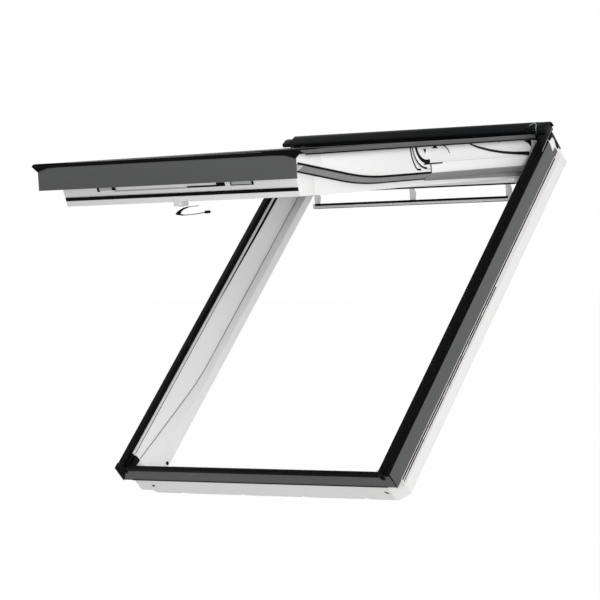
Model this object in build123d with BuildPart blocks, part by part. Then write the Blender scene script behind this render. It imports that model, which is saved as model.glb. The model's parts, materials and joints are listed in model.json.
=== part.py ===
from build123d import *
import os
from math import cos, radians, sin

# Top-hung roof window, shown open on its roof pitch.
# Every piece is drawn flat, as the window lies with the sash shut:
# x runs across, y runs up the slope from the front of the frame, z points out of the roof.
# The pieces are then tilted to the roof pitch, and the sash is swung open about its top hinge.

# Driving dimensions, mm and degrees
frame_width = 780
frame_length = 1080
frame_depth = 97
roof_pitch = 45
open_angle = 42.5
sheet = 2                 # folded aluminium cladding

# Frame
half = frame_width / 2
timber_half = half - sheet
timber_top = -sheet
inner_half = 332          # lower opening, below the ledge
rebate_half = 355         # upper opening, above the ledge
rail_front = 2
rail_lip_end = 8
rail_ledge_z = -17
rail_ledge_end = 23
rail_back = 32
ledge_z = -72.5
ledge_front_z = -16.4
ledge_fall = 0.163        # fall of the ledge per mm up the slope, at the front
ledge_cant = 12.3         # how far the ledge leans inwards across its width
ledge_blend = 900
cladding_drop = 44
top_rail_front = 1030
top_block_front = 1060
corner_cut = 34
low_edge_z = -90          # front lower edge of the bottom rail
notch_count = 4
notch_pitch = 174
notch_shift = 11

# Top hinge and cleaning pivot, axes along x
hinge_y = 1039
hinge_z = -50
pivot_y = 527
pivot_z = 14
arm_round = 62.5
stile_round = 63.6

# Sash
outer_z = 13.4
sash_bottom_z = outer_z - 100
sash_half = 361           # outer edge of the aluminium
narrow_half = 328         # passes the lower opening
wide_half = 350           # rests on the ledge
glass_half = 294
stile_inner = 272
sash_front = 10
rail_face_top = 27        # the front face of the bottom rail leans back
rail_face_low = 50
sash_rail_back = 104
sash_top_rail = 934
sash_end = 998
cladding_front = -8
cladding_front_drop = 60
edge_drop = 8             # folded edge of the sash cladding, below and above its face
edge_rise = 1.5
band_flat_z = -60
band_front_z = -15
band_fall = 0.164
band_cant = 12
band_blend = 900
glass_seat_z = -20
glass_top_z = 4
timber_high = outer_z - sheet
pane = 4

# Arms
arm_inner = 333
arm_outer = 349.6
arm_top_z = outer_z - 5
arm_low_z = outer_z - 48
arm_wall = 3
groove = 2
arm_end_y = hinge_y + 11
cover_from = pivot_y + 14

# Places of the flat drawing on the roof, about an origin on the underside of the bottom rail
origin_y = 24
roof = Location((0, 0, 0), (roof_pitch, 0, 0)) * Location((0, -origin_y, frame_depth))
to_hinge = Location((0, hinge_y, hinge_z), (-open_angle, 0, 0))
from_hinge = Location((0, -hinge_y, -hinge_z))
swung = roof * to_hinge * from_hinge

os.makedirs("parts", exist_ok=True)


def facing_x(x):
    return Plane(origin=(x, 0, 0), x_dir=(0, 1, 0), z_dir=(1, 0, 0))


def facing_front(y):
    return Plane(origin=(0, y, 0), x_dir=(1, 0, 0), z_dir=(0, -1, 0))


def prism(plane, points, depth, mode=Mode.ADD):
    # a closed outline on a plane, run along the plane's normal
    with BuildSketch(plane) as face:
        with BuildLine():
            Polyline(*points, close=True)
        make_face()
    extrude(face.sketch, amount=depth, mode=mode)


def across(points, x_from, x_to, mode=Mode.ADD):
    # outline in (y, z), run along x
    prism(facing_x(x_from), points, x_to - x_from, mode)


def up_slope(points, y_from, y_to, mode=Mode.ADD):
    # outline in (x, z), run up the slope
    prism(facing_front(y_to), points, y_to - y_from, mode)


def block(x_from, x_to, y_from, y_to, z_from, z_to, mode=Mode.ADD):
    across([(y_from, z_from), (y_to, z_from), (y_to, z_to), (y_from, z_to)], x_from, x_to, mode)


def pin(x_from, x_to, y, z, radius, mode=Mode.ADD):
    with BuildSketch(facing_x(x_from)) as face:
        with Locations((y, z)):
            Circle(radius)
    extrude(face.sketch, amount=x_to - x_from, mode=mode)


def rounded_bar(x_from, x_to, y, z, width, height, corner, mode=Mode.ADD):
    with BuildSketch(facing_x(x_from)) as face:
        with Locations((y, z)):
            RectangleRounded(width, height, corner)
    extrude(face.sketch, amount=x_to - x_from, mode=mode)


def arc_band(x_from, x_to, r_inner, r_outer, start, end, mode=Mode.ADD):
    # band about the cleaning pivot, from one angle to another
    sweep_angle = end - start
    with BuildSketch(facing_x(x_from)) as face:
        with BuildLine():
            CenterArc((pivot_y, pivot_z), r_outer, start, sweep_angle)
            CenterArc((pivot_y, pivot_z), r_inner, start, sweep_angle)
            for angle in (start, end):
                near = (pivot_y + r_inner * cos(radians(angle)), pivot_z + r_inner * sin(radians(angle)))
                far = (pivot_y + r_outer * cos(radians(angle)), pivot_z + r_outer * sin(radians(angle)))
                Line(near, far)
        make_face()
    extrude(face.sketch, amount=x_to - x_from, mode=mode)


def save(piece, name, place=roof):
    solid = piece.part.moved(place)
    solid.label = name
    export_step(solid, f"parts/{name}.step")


def save_pair(piece, name, place=roof):
    # the right-hand piece as drawn, and its mirrored twin
    with BuildPart() as twin:
        mirror(piece.part, about=Plane.YZ)
    save(piece, f"{name}_right", place)
    save(twin, f"{name}_left", place)


def slanted_space(x_outer, z_outer, x_inner, z_inner, flat_outer, flat_inner, fall, y_end, blend, top_z):
    # the space above a long flat ledge that rises towards the front and leans inwards
    sections = []
    for x, front_z, flat_z in ((x_inner, z_inner, flat_inner), (x_outer, z_outer, flat_outer)):
        with BuildSketch(facing_x(x)) as section:
            with BuildLine():
                corner = (front_z - flat_z) / fall
                FilletPolyline((0, front_z), (corner, flat_z), (y_end, flat_z), radius=blend)
                Polyline((y_end, flat_z), (y_end, top_z), (0, top_z), (0, front_z))
            make_face()
        sections.append(section.sketch)
    with BuildPart() as space:
        loft(sections, ruled=True)
    return space


# Lock plate, let into the tapered inner face of the bottom rail

with BuildPart() as striker_plate:
    face_top = rail_ledge_end + 0.36
    face_low = rail_ledge_end + 3.0
    across([(face_top - 3, -20.3), (face_top, -20.3), (face_low, -43.7), (face_low - 3, -43.7)], -45, 45)
    for x in (-34, 34):
        with Locations(Plane(origin=(x, rail_ledge_end + 1.7, -32), z_dir=(0, 1, 0.113))):
            CounterSinkHole(radius=2, counter_sink_radius=3.6, depth=12)
save(striker_plate, "striker_plate")

# Frame timber

ledge_space = slanted_space(
    rebate_half, ledge_front_z, inner_half, ledge_front_z - ledge_cant, ledge_z, ledge_z - 1,
    ledge_fall, frame_length + 20, ledge_blend, 20,
)

with BuildPart() as frame_jamb:
    block(inner_half, timber_half, rail_back, top_block_front, -frame_depth, timber_top)
    add(ledge_space.part, mode=Mode.SUBTRACT)
    low_edges = frame_jamb.edges().group_by(Axis.Z)[0].filter_by(Axis.Y)
    fillet(low_edges, radius=3)
save_pair(frame_jamb, "frame_jamb")

with BuildPart() as frame_bottom_rail:
    # full-width moulded rail with cut corners and a rounded lower edge
    with BuildSketch(Plane.XY.offset(-frame_depth)):
        with BuildLine():
            Polyline(
                (-timber_half, rail_back), (-timber_half, corner_cut - 6),
                (-timber_half + corner_cut - 6, rail_front), (timber_half - corner_cut + 6, rail_front),
                (timber_half, corner_cut - 6), (timber_half, rail_back), close=True,
            )
        make_face()
    extrude(amount=frame_depth - cladding_drop + 1)
    block(-timber_half, timber_half, rail_front, rail_back, -cladding_drop, timber_top)
    ledge = [
        (rail_lip_end, 10), (rail_lip_end, rail_ledge_z), (rail_ledge_end, rail_ledge_z),
        (rail_back + 0.01, -frame_depth - 0.01), (rail_back + 1, -frame_depth - 0.01), (rail_back + 1, 10),
    ]
    across(ledge, -inner_half, inner_half, mode=Mode.SUBTRACT)
    side_ledge = [
        (rail_lip_end, 10), (rail_lip_end, rail_ledge_z),
        (rail_back + 1, rail_ledge_z - 5), (rail_back + 1, 10),
    ]
    for side in (-1, 1):
        across(side_ledge, side * rebate_half, side * (inner_half - 1), mode=Mode.SUBTRACT)
    # seat of the lock plate
    seat = [(face_top - 3, -20.3), (50, -20.3), (50, -43.7), (face_low - 3, -43.7)]
    across(seat, -45, 45, mode=Mode.SUBTRACT)
    # notches along the lower edge, and one wide recess near the left end
    lower_edge = [(rail_front - 1, -100), (rail_front - 1, low_edge_z), (rail_front, low_edge_z), (9, -100)]
    across(lower_edge, -half, half, mode=Mode.SUBTRACT)
    for i in range(notch_count):
        x = (i - (notch_count - 1) / 2) * notch_pitch + notch_shift
        notch = [(x, -100), (x, low_edge_z + 5), (x + 20, low_edge_z - 1), (x + 20, -100)]
        up_slope(notch, rail_front - 1, 14, mode=Mode.SUBTRACT)
    recess = [
        (-half, -100), (-half, low_edge_z + 8), (-331, low_edge_z + 13),
        (-319, low_edge_z), (-319, -100),
    ]
    up_slope(recess, rail_front - 1, 14, mode=Mode.SUBTRACT)
    for x, tilt in ((-314, -45), (349, 45)):
        with Locations(Plane(origin=(x, rail_front, -66), x_dir=(1, 0, 0), z_dir=(0, -1, 0))):
            with Locations(Location((0, 0, 0), (0, 0, tilt))):
                Box(3, 9, 4, mode=Mode.SUBTRACT)
save(frame_bottom_rail, "frame_bottom_rail")

with BuildPart() as frame_top_rail:
    block(-timber_half, timber_half, top_block_front, frame_length - sheet, -frame_depth, 2)
    stop = [
        (top_rail_front, -frame_depth), (top_block_front, -frame_depth),
        (top_block_front, -45), (top_rail_front + 6, -45), (top_rail_front, -51),
    ]
    across(stop, -inner_half + 0.1, inner_half - 0.1)
save(frame_top_rail, "frame_top_rail")

# Frame cladding, folded sheet

side_clad_end = 1044
with BuildPart() as frame_side_cladding:
    fold = [
        (half, 0), (half, -cladding_drop), (half - sheet, -cladding_drop),
        (half - sheet, -sheet), (366, -sheet), (366, 0),
    ]
    up_slope(fold, 0, side_clad_end + 18)
    # slanted upper end, with a tongue below it
    slant = [(side_clad_end + 2, -31), (side_clad_end + 9, 5), (1100, 5), (1100, -31)]
    across(slant, 360, 395, mode=Mode.SUBTRACT)
    # the front end is closed by the bottom cladding
    block(360, 395, -1, rail_front, -50, 5, mode=Mode.SUBTRACT)
    block(360, half - 0.01, -1, rail_lip_end, -sheet, 5, mode=Mode.SUBTRACT)
    block(half - 1, 395, -1, rail_lip_end, -sheet, 5, mode=Mode.SUBTRACT)
save_pair(frame_side_cladding, "frame_side_cladding")

with BuildPart() as frame_bottom_cladding:
    fold = [
        (0, 0), (rail_lip_end, 0), (rail_lip_end, -sheet), (sheet, -sheet),
        (sheet, -cladding_drop), (0, -cladding_drop),
    ]
    across(fold, -half, half)
    front_corners = frame_bottom_cladding.edges().filter_by(Axis.Z).group_by(Axis.Y)[0]
    fillet(front_corners, radius=1)
save(frame_bottom_cladding, "frame_bottom_cladding")

with BuildPart() as frame_top_cladding:
    # folded cap over the head of the frame, returned down its back and both ends
    cap_top = 4
    cap_front = top_block_front - 3
    cap_low = -52
    fold = [
        (cap_front, cap_top - sheet), (cap_front, cap_top), (frame_length, cap_top), (frame_length, cap_low),
        (frame_length - sheet, cap_low), (frame_length - sheet, cap_top - sheet),
    ]
    across(fold, -half, half)
    # a narrow curved strap closes each end
    strap = [
        (cap_front, cap_top), (frame_length, cap_top), (frame_length, -18), (frame_length - 7, cap_low + 8),
        (frame_length - 13, cap_low + 12), (frame_length - 5, -16), (frame_length - 7, -4), (cap_front, -2),
    ]
    for side in (-1, 1):
        across(strap, side * half, side * (half - sheet))
save(frame_top_cladding, "frame_top_cladding")

# Weather strips on the frame

with BuildPart() as frame_side_seal:
    seal = [
        (364, 0), (364, 2), (366.5, 8), (369, 9), (371.5, 8), (373, 2), (374, 1.4),
        (half - 1, 1.2), (half - 1, 0),
    ]
    up_slope(seal, 14, 1052)
save_pair(frame_side_seal, "frame_side_seal")

bumper_inner = half - 31
with BuildPart() as frame_bottom_seal:
    seal = [
        (rail_lip_end - 0.5, 0), (rail_lip_end - 0.5, 1.5), (5, 4), (0, 4), (-1.4, 2.5),
        (-1.4, -16), (0, -16), (0, 0),
    ]
    across(seal, -bumper_inner, bumper_inner)
save(frame_bottom_seal, "frame_bottom_seal")

pad_inner = rebate_half - 3.4
with BuildPart() as frame_corner_bumper:
    # soft moulded corner over the cladding mitre
    with BuildSketch(Plane.XY.offset(0)):
        with BuildLine():
            Polyline(
                (bumper_inner + 0.2, -2.4), (half + 2, -2.4), (half + 2, 13.8), (half - 26, 13.8),
                (half - 26, 8.5), (bumper_inner + 0.2, 8.5), close=True,
            )
        make_face()
    extrude(amount=9)
    fillet(frame_corner_bumper.edges().group_by(Axis.Z)[-1], radius=2)
    block(bumper_inner + 0.2, half + 2, -2.4, -0.2, -3, 0.5)
    block(half + 0.2, half + 2, -2.4, 13.8, -18, 0.5)
    tip = [(half - 3, 0.5), (half + 2, 0.5), (half + 2, -50), (half - 1, -46)]
    up_slope(tip, -2.4, -0.2)
    # soft pad in the inner corner, and a round plug on the front
    block(pad_inner, bumper_inner + 2, 8.5, 36, timber_top, 2.2)
    block(bumper_inner, half - 26, 8.5, 13.8, timber_top, 2.2)
    pad = [
        (rail_lip_end + 0.4, -16.8), (32, -21.2), (34, -21.4),
        (34, timber_top), (rail_lip_end + 0.4, timber_top),
    ]
    across(pad, pad_inner, rebate_half)
    plug_plane = Plane(origin=(half - 24, -0.2, -9), x_dir=(1, 0, 0), z_dir=(0, -1, 0))
    with BuildSketch(plug_plane) as plug:
        Ellipse(6, 4.4)
    extrude(plug.sketch, amount=1.8)
save(frame_corner_bumper, "frame_corner_bumper_right")

with BuildPart() as left_bumper:
    # the left corner has a wider skirt
    mirror(frame_corner_bumper.part, about=Plane.YZ)
    skirt = [(-half - 2, 0.5), (3 - half, -46), (12 - half, -34), (26 - half, -14), (26 - half, 0.5)]
    up_slope(skirt, -2.4, -0.2)
save(left_bumper, "frame_corner_bumper_left")

# Fixing rail along the outer side of each jamb, with its pockets
rail_end = 1066
with BuildPart() as frame_side_rail:
    block(timber_half, half - 0.4, 20, rail_end, -64, -cladding_drop - 0.4)
    block(timber_half, half - 0.4, rail_end - 3, rail_end, -64, -32)
    for i in range(8):
        pocket_y = 60 + i * 125
        block(timber_half + 0.6, half, pocket_y, pocket_y + 90, -61, -cladding_drop - 4, mode=Mode.SUBTRACT)
save_pair(frame_side_rail, "frame_side_rail")

# Hood over the head of the frame

hood_front = 1055
hood_back = 1098
hood_low = 25.4
hood_half = 362


def hood_profile(rise, back):
    # rounded section of the hood and of its ends, closed along the bottom
    with BuildLine() as line:
        Line((hood_front, hood_low), (hood_front, hood_low + 5))
        Spline(
            (hood_front, hood_low + 5), (hood_front + 9, hood_low + rise - 1),
            (hood_front + 24, hood_low + rise - 2), (back, hood_low - 5), tangents=((0, 1), (0.1, -1)),
        )
    return line.line


with BuildPart() as hood:
    with BuildSketch(facing_x(-hood_half)):
        with BuildLine():
            add(hood_profile(14, hood_back))
            Polyline(
                (hood_back, hood_low - 5), (hood_back, 4), (hood_back - 2, 4),
                (hood_back - 2, hood_low - 5), (hood_back - 6, hood_low), (hood_front, hood_low),
            )
        make_face()
    extrude(amount=2 * hood_half)
save(hood, "hood")

for side, rise, name in ((1, 13.4, "hood_end_right"), (-1, 6, "hood_end_left")):
    with BuildPart() as hood_end:
        with BuildSketch(facing_x(side * hood_half)):
            with BuildLine():
                add(hood_profile(rise, hood_back - 2))
                Polyline((hood_back - 2, hood_low - 5), (hood_back - 6, hood_low), (hood_front, hood_low))
            make_face()
        extrude(amount=side * (half - hood_half))
    save(hood_end, name)

with BuildPart() as hood_brackets:
    # standing hooks between the head of the frame and the hood
    hook = [
        (1062, 4), (1076, 4), (1080, 12), (1090, hood_low - 6), (1090, hood_low), (1058, hood_low),
        (1058, hood_low - 6), (1068, 15),
    ]
    across(hook, 356, 361)
    across(hook, -361, -356)
    # clip that grips the front edge of the hood
    clip = [
        (1055, hood_low + 0.4), (1051.5, hood_low + 3), (1051.5, hood_low + 12), (1056, hood_low + 19),
        (1063, hood_low + 19), (1066, hood_low + 10), (1060, hood_low + 5),
    ]
    across(clip, 340, 352)
    notch = [(1050, hood_low + 7), (1054, hood_low + 7), (1057, hood_low + 15), (1050, hood_low + 15)]
    across(notch, 343, 349, mode=Mode.SUBTRACT)
    add(hood.part, mode=Mode.SUBTRACT)
save(hood_brackets, "hood_brackets")

# Top hinges

hinge_plate_thick = 3.5
hinge_pin_radius = 5
running_fit = 0.05
with BuildPart() as hinge_bracket:
    # plate screwed to the jamb face, with a raised eye round the pin
    plate = [(1014, -71.5), (1058, -71.5), (1058, -36), (1048, -28), (1030, -28), (1014, -44)]
    plate_inner = rebate_half - hinge_plate_thick
    across(plate, plate_inner, rebate_half)
    pin(plate_inner - 1.3, rebate_half, hinge_y, hinge_z, hinge_pin_radius + 4)
    pin(plate_inner - 2, rebate_half + 1, hinge_y, hinge_z, hinge_pin_radius, mode=Mode.SUBTRACT)
save_pair(hinge_bracket, "hinge_bracket")

with BuildPart() as hinge_pins:
    for side in (-1, 1):
        pin(side * (arm_inner + 1), side * rebate_half, hinge_y, hinge_z, hinge_pin_radius)
        pin(side * (arm_inner + 1), side * (arm_inner + 3.5), hinge_y, hinge_z, hinge_pin_radius + 3)
save(hinge_pins, "hinge_pins")

# Sash timber

band_space = slanted_space(
    wide_half, band_front_z, narrow_half, band_front_z - band_cant, band_flat_z, band_flat_z - band_cant,
    band_fall, 620, band_blend, timber_high,
)

with BuildPart() as sash_stile:
    block(stile_inner, narrow_half, sash_rail_back, sash_top_rail, sash_bottom_z, timber_high)
    add(band_space.part)
    block(narrow_half - 10, wide_half + 1, -20, sash_rail_back, -100, 20, mode=Mode.SUBTRACT)
    # concave end, concentric with the cleaning pivot
    pin(narrow_half, wide_half + 1, pivot_y, pivot_z, stile_round, mode=Mode.SUBTRACT)
    block(narrow_half, wide_half + 1, pivot_y, 640, pivot_z - stile_round, 20, mode=Mode.SUBTRACT)
    block(narrow_half, wide_half + 1, cover_from - 0.6, 640, -100, 20, mode=Mode.SUBTRACT)
    # shallow recess around the seat
    seat_recess = [
        (pivot_y - 70, pivot_z), (pivot_y - 66, -2), (pivot_y - 59, -22), (pivot_y - 46, -44),
        (pivot_y - 41, -48.4), (pivot_y - 27, -48.8), (pivot_y - 27, 12), (pivot_y - 50, 12),
    ]
    across(seat_recess, wide_half - 1.6, wide_half + 1, mode=Mode.SUBTRACT)
    # rebate for the glass
    block(stile_inner - 1, glass_half + 1, 0, 1100, glass_seat_z, 20, mode=Mode.SUBTRACT)
save_pair(sash_stile, "sash_stile", swung)

flange_z = rail_ledge_z + 0.8


def rail_face(z):
    # the leaning front face of the rail
    return rail_face_top + (flange_z - z) * (rail_face_low - rail_face_top) / (flange_z - sash_bottom_z)


with BuildPart() as sash_bottom_rail:
    section = [
        (rail_face_low, sash_bottom_z), (sash_rail_back, sash_bottom_z), (sash_rail_back, timber_high),
        (sash_front, timber_high), (sash_front, flange_z), (rail_face_top, flange_z),
    ]
    across(section, -narrow_half, narrow_half)
    with BuildPart(mode=Mode.PRIVATE) as wings:
        add(band_space.part)
        mirror(band_space.part, about=Plane.YZ)
        block(-400, 400, sash_rail_back, 700, -100, 20, mode=Mode.SUBTRACT)
        block(-400, 400, -20, sash_front, -100, 20, mode=Mode.SUBTRACT)
        # the flange over the front rail of the frame
        block(-400, 400, -20, rail_face_top + 8, -100, flange_z, mode=Mode.SUBTRACT)
    add(wings.part)
    block(-glass_half - 1, glass_half + 1, sash_rail_back - 24, 1100, glass_seat_z, 20, mode=Mode.SUBTRACT)
save(sash_bottom_rail, "sash_bottom_rail", swung)

with BuildPart() as sash_top_rail_piece:
    block(-narrow_half, narrow_half, sash_top_rail, sash_end, sash_bottom_z, timber_high)
    block(-glass_half - 1, glass_half + 1, 900, sash_top_rail + 24, glass_seat_z, 20, mode=Mode.SUBTRACT)
save(sash_top_rail_piece, "sash_top_rail", swung)

# Sealed glazing unit

glass_from = sash_rail_back - 22
glass_to = sash_top_rail + 22
glass_half_x = glass_half - 1
spacer_width = 12


def pane_block(z_from, z_to):
    block(-glass_half_x, glass_half_x, glass_from, glass_to, z_from, z_to)


with BuildPart() as inner_pane:
    pane_block(glass_seat_z, glass_seat_z + pane)
save(inner_pane, "inner_pane", swung)

with BuildPart() as outer_pane:
    pane_block(glass_top_z - pane, glass_top_z)
save(outer_pane, "outer_pane", swung)

with BuildPart() as pane_spacer:
    pane_block(glass_seat_z + pane, glass_top_z - pane)
    block(
        -glass_half_x + spacer_width, glass_half_x - spacer_width,
        glass_from + spacer_width, glass_to - spacer_width, -30, 20, mode=Mode.SUBTRACT,
    )
save(pane_spacer, "pane_spacer", swung)

with BuildPart() as glazing_seal:
    block(-glass_half_x, glass_half_x, glass_from, glass_to, glass_top_z, outer_z - sheet)
    block(-283, 283, glass_from + 11, glass_to - 11, 0, 20, mode=Mode.SUBTRACT)
save(glazing_seal, "glazing_seal", swung)

# Sash cladding

cover_inner = 284
front_cover_end = sash_rail_back - 8
top_cover_from = sash_top_rail + 10
sash_split = pivot_y - stile_round + 0.4


def side_fold(x_inner):
    # section of the side cladding, with its raised and folded edge
    inner = sash_half - sheet
    return [
        (x_inner, outer_z), (inner - 3, outer_z), (inner, outer_z + edge_rise),
        (sash_half, outer_z + edge_rise), (sash_half, outer_z - edge_drop),
        (inner, outer_z - edge_drop), (inner, outer_z - sheet), (x_inner, outer_z - sheet),
    ]


with BuildPart() as sash_front_cladding:
    fold = [
        (cladding_front, outer_z), (front_cover_end, outer_z), (front_cover_end, outer_z - sheet),
        (cladding_front + sheet, outer_z - sheet), (cladding_front + sheet, outer_z - cladding_front_drop),
        (cladding_front, outer_z - cladding_front_drop),
    ]
    across(fold, -sash_half, sash_half)
    fold_line = sash_front_cladding.edges().filter_by(Axis.X).group_by(Axis.Y)[0]
    fillet(fold_line.sort_by(Axis.Z)[-1], radius=1.8)
    for side in (-1, 1):
        # returned side, its end cut back in a curve
        end = [
            (14, outer_z), (14, outer_z - 3), (24, outer_z - 6), (40, outer_z - edge_drop),
            (front_cover_end, outer_z - edge_drop), (front_cover_end, outer_z),
        ]
        across(end, side * sash_half, side * (sash_half - sheet))
save(sash_front_cladding, "sash_front_cladding", swung)

with BuildPart() as sash_side_cladding:
    up_slope(side_fold(cover_inner), front_cover_end, sash_split)
    block(cover_inner, arm_inner - 4, sash_split, top_cover_from, outer_z - sheet, outer_z)
save_pair(sash_side_cladding, "sash_side_cladding", swung)

with BuildPart() as sash_top_cladding:
    block(-arm_inner + 4, arm_inner - 4, top_cover_from, sash_end + 2, outer_z - sheet, outer_z)
    block(-arm_inner + 4, arm_inner - 4, sash_end, sash_end + 2, -12, outer_z)
save(sash_top_cladding, "sash_top_cladding", swung)

with BuildPart() as sash_corner_cap:
    wing = [(378, 10), (372, 15), (283, 15), (283, 12), (340, 8), (362, -2), (364, 0)]
    up_slope(wing, cladding_front - 2, cladding_front)
    block(283, 366, cladding_front - 2, 4, outer_z, 15)
    # its arm along the side of the cladding
    across([(4, outer_z), (front_cover_end, outer_z), (4, 15)], 345, sash_half)
save_pair(sash_corner_cap, "sash_corner_cap", swung)

# Seals of the sash


def on_rail_face(x_from, x_to, z_from, z_to, thick):
    # strip lying on the leaning face of the bottom rail
    strip = [
        (rail_face(z_from), z_from), (rail_face(z_to), z_to),
        (rail_face(z_to) - thick, z_to), (rail_face(z_from) - thick, z_from),
    ]
    across(strip, x_from, x_to)


with BuildPart() as sash_front_seal:
    seal_half = narrow_half - 2
    on_rail_face(seal_half, -seal_half, outer_z - 85, outer_z - 79.5, 1.4)
save(sash_front_seal, "sash_front_seal", swung)


def band_point(y, lift):
    # height of the black seal line on the outer face of the stile
    return max(band_front_z - band_fall * y, band_flat_z) + lift


bead_lift = 2
band_corner = (band_front_z - band_flat_z) / band_fall
with BuildPart() as sash_side_seal:
    # strip under the edge of the cladding, and the black bead that follows the edge of the stile
    block(wide_half, 360, 44, sash_split - 1, outer_z - 11, outer_z - edge_drop - 0.2)
    block(wide_half, 358.8, 20, sash_split - 1, outer_z - edge_drop - 0.2, outer_z - 5)
    with BuildSketch(facing_x(wide_half)):
        with BuildLine():
            bead = FilletPolyline(
                (sash_front + 3, band_point(sash_front + 3, bead_lift)),
                (band_corner, band_flat_z + bead_lift),
                (cover_from - 1, band_flat_z + bead_lift),
                radius=band_blend,
            )
        trace(bead, line_width=3.2)
    extrude(amount=1.2)
save_pair(sash_side_seal, "sash_side_seal", swung)

# Lock and handle

with BuildPart() as lock_case:
    on_rail_face(70, -95, outer_z - 68, outer_z - 60.5, 0.9)
save(lock_case, "lock_case", swung)

handle_x = -15
handle_y = 71
handle_z = sash_bottom_z - 10
spindle_radius = 6
with BuildPart() as handle_base:
    block(-34, 4, handle_y - 18, handle_y + 18, handle_z, sash_bottom_z)
    fillet(handle_base.edges().filter_by(Axis.Z), radius=6)
    with Locations((handle_x, handle_y, handle_z)):
        Cylinder(spindle_radius + running_fit, 9, mode=Mode.SUBTRACT)
save(handle_base, "handle_base", swung)

with BuildPart() as handle_lever:
    # hooked lever, its free end pointing back along the rail
    with BuildSketch(facing_front(handle_y + 11)):
        with BuildLine():
            Line((-12, handle_z - 0.5), (8, handle_z - 0.5))
            Spline(
                (8, handle_z - 0.5), (-8, handle_z - 8), (-26, handle_z - 18),
                tangents=((-1, -0.1), (-0.6, -1)),
            )
            Polyline((-26, handle_z - 18), (-20, handle_z - 21), (10, handle_z - 20.5), (62, handle_z - 16))
            Polyline((62, handle_z - 16), (62, handle_z - 20), (10, handle_z - 24.5), (-24, handle_z - 25))
            Spline(
                (-24, handle_z - 25), (-34, handle_z - 21), (-26, handle_z - 10), (-12, handle_z - 0.5),
                tangents=((-1, 0.1), (1, 0.6)),
            )
        make_face()
    extrude(amount=22)
    with Locations((handle_x, handle_y, handle_z)):
        Cylinder(spindle_radius, 8)
save(handle_lever, "handle_lever", swung)

with BuildPart() as handle_tip:
    rounded_bar(62, 70, handle_y, handle_z - 18, 22, 8, 3)
save(handle_tip, "handle_tip", swung)

# Ventilation flap and control bar

flap_edge = 944
flap_back = sash_end - 2
flap_round = 3            # rounded edge that the flap turns about
flap_z = sash_bottom_z - 0.3
with BuildPart() as flap_housing:
    hull = [
        (flap_edge + flap_round, flap_z), (flap_back, flap_z), (flap_back, flap_z - 6),
        (flap_back - 8, flap_z - 14),
        (flap_edge + 8, flap_z - 14), (flap_edge, flap_z - 6), (flap_edge, flap_z - flap_round),
        (flap_edge + flap_round, flap_z - flap_round),
    ]
    across(hull, -narrow_half, narrow_half)
    pin(-narrow_half, narrow_half, flap_edge + flap_round, flap_z - flap_round, flap_round)
save(flap_housing, "flap_housing", swung)

bar_y = 985
bar_z = outer_z - 151
bar_half = 285
with BuildPart() as control_bar:
    rounded_bar(-bar_half, bar_half, bar_y, bar_z, 18, 13, 5)
save(control_bar, "control_bar", swung)

with BuildPart() as bar_brackets:
    for x in (-268, 3, 268):
        arm = [
            (bar_y - 7, flap_z - 14.2), (bar_y + 3, flap_z - 14.2), (bar_y + 13, bar_z + 22),
            (bar_y + 8, bar_z + 6.5), (bar_y - 6, bar_z + 6.5),
        ]
        across(arm, x - 7, x + 7)
save(bar_brackets, "bar_brackets", swung)

# Pivot rail on the sash

with BuildPart() as pivot_rail:
    arc_band(narrow_half, arm_inner - 2.4, 44, 54, 186, 354)
save_pair(pivot_rail, "pivot_rail", swung)

# Hinge arms

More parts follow.
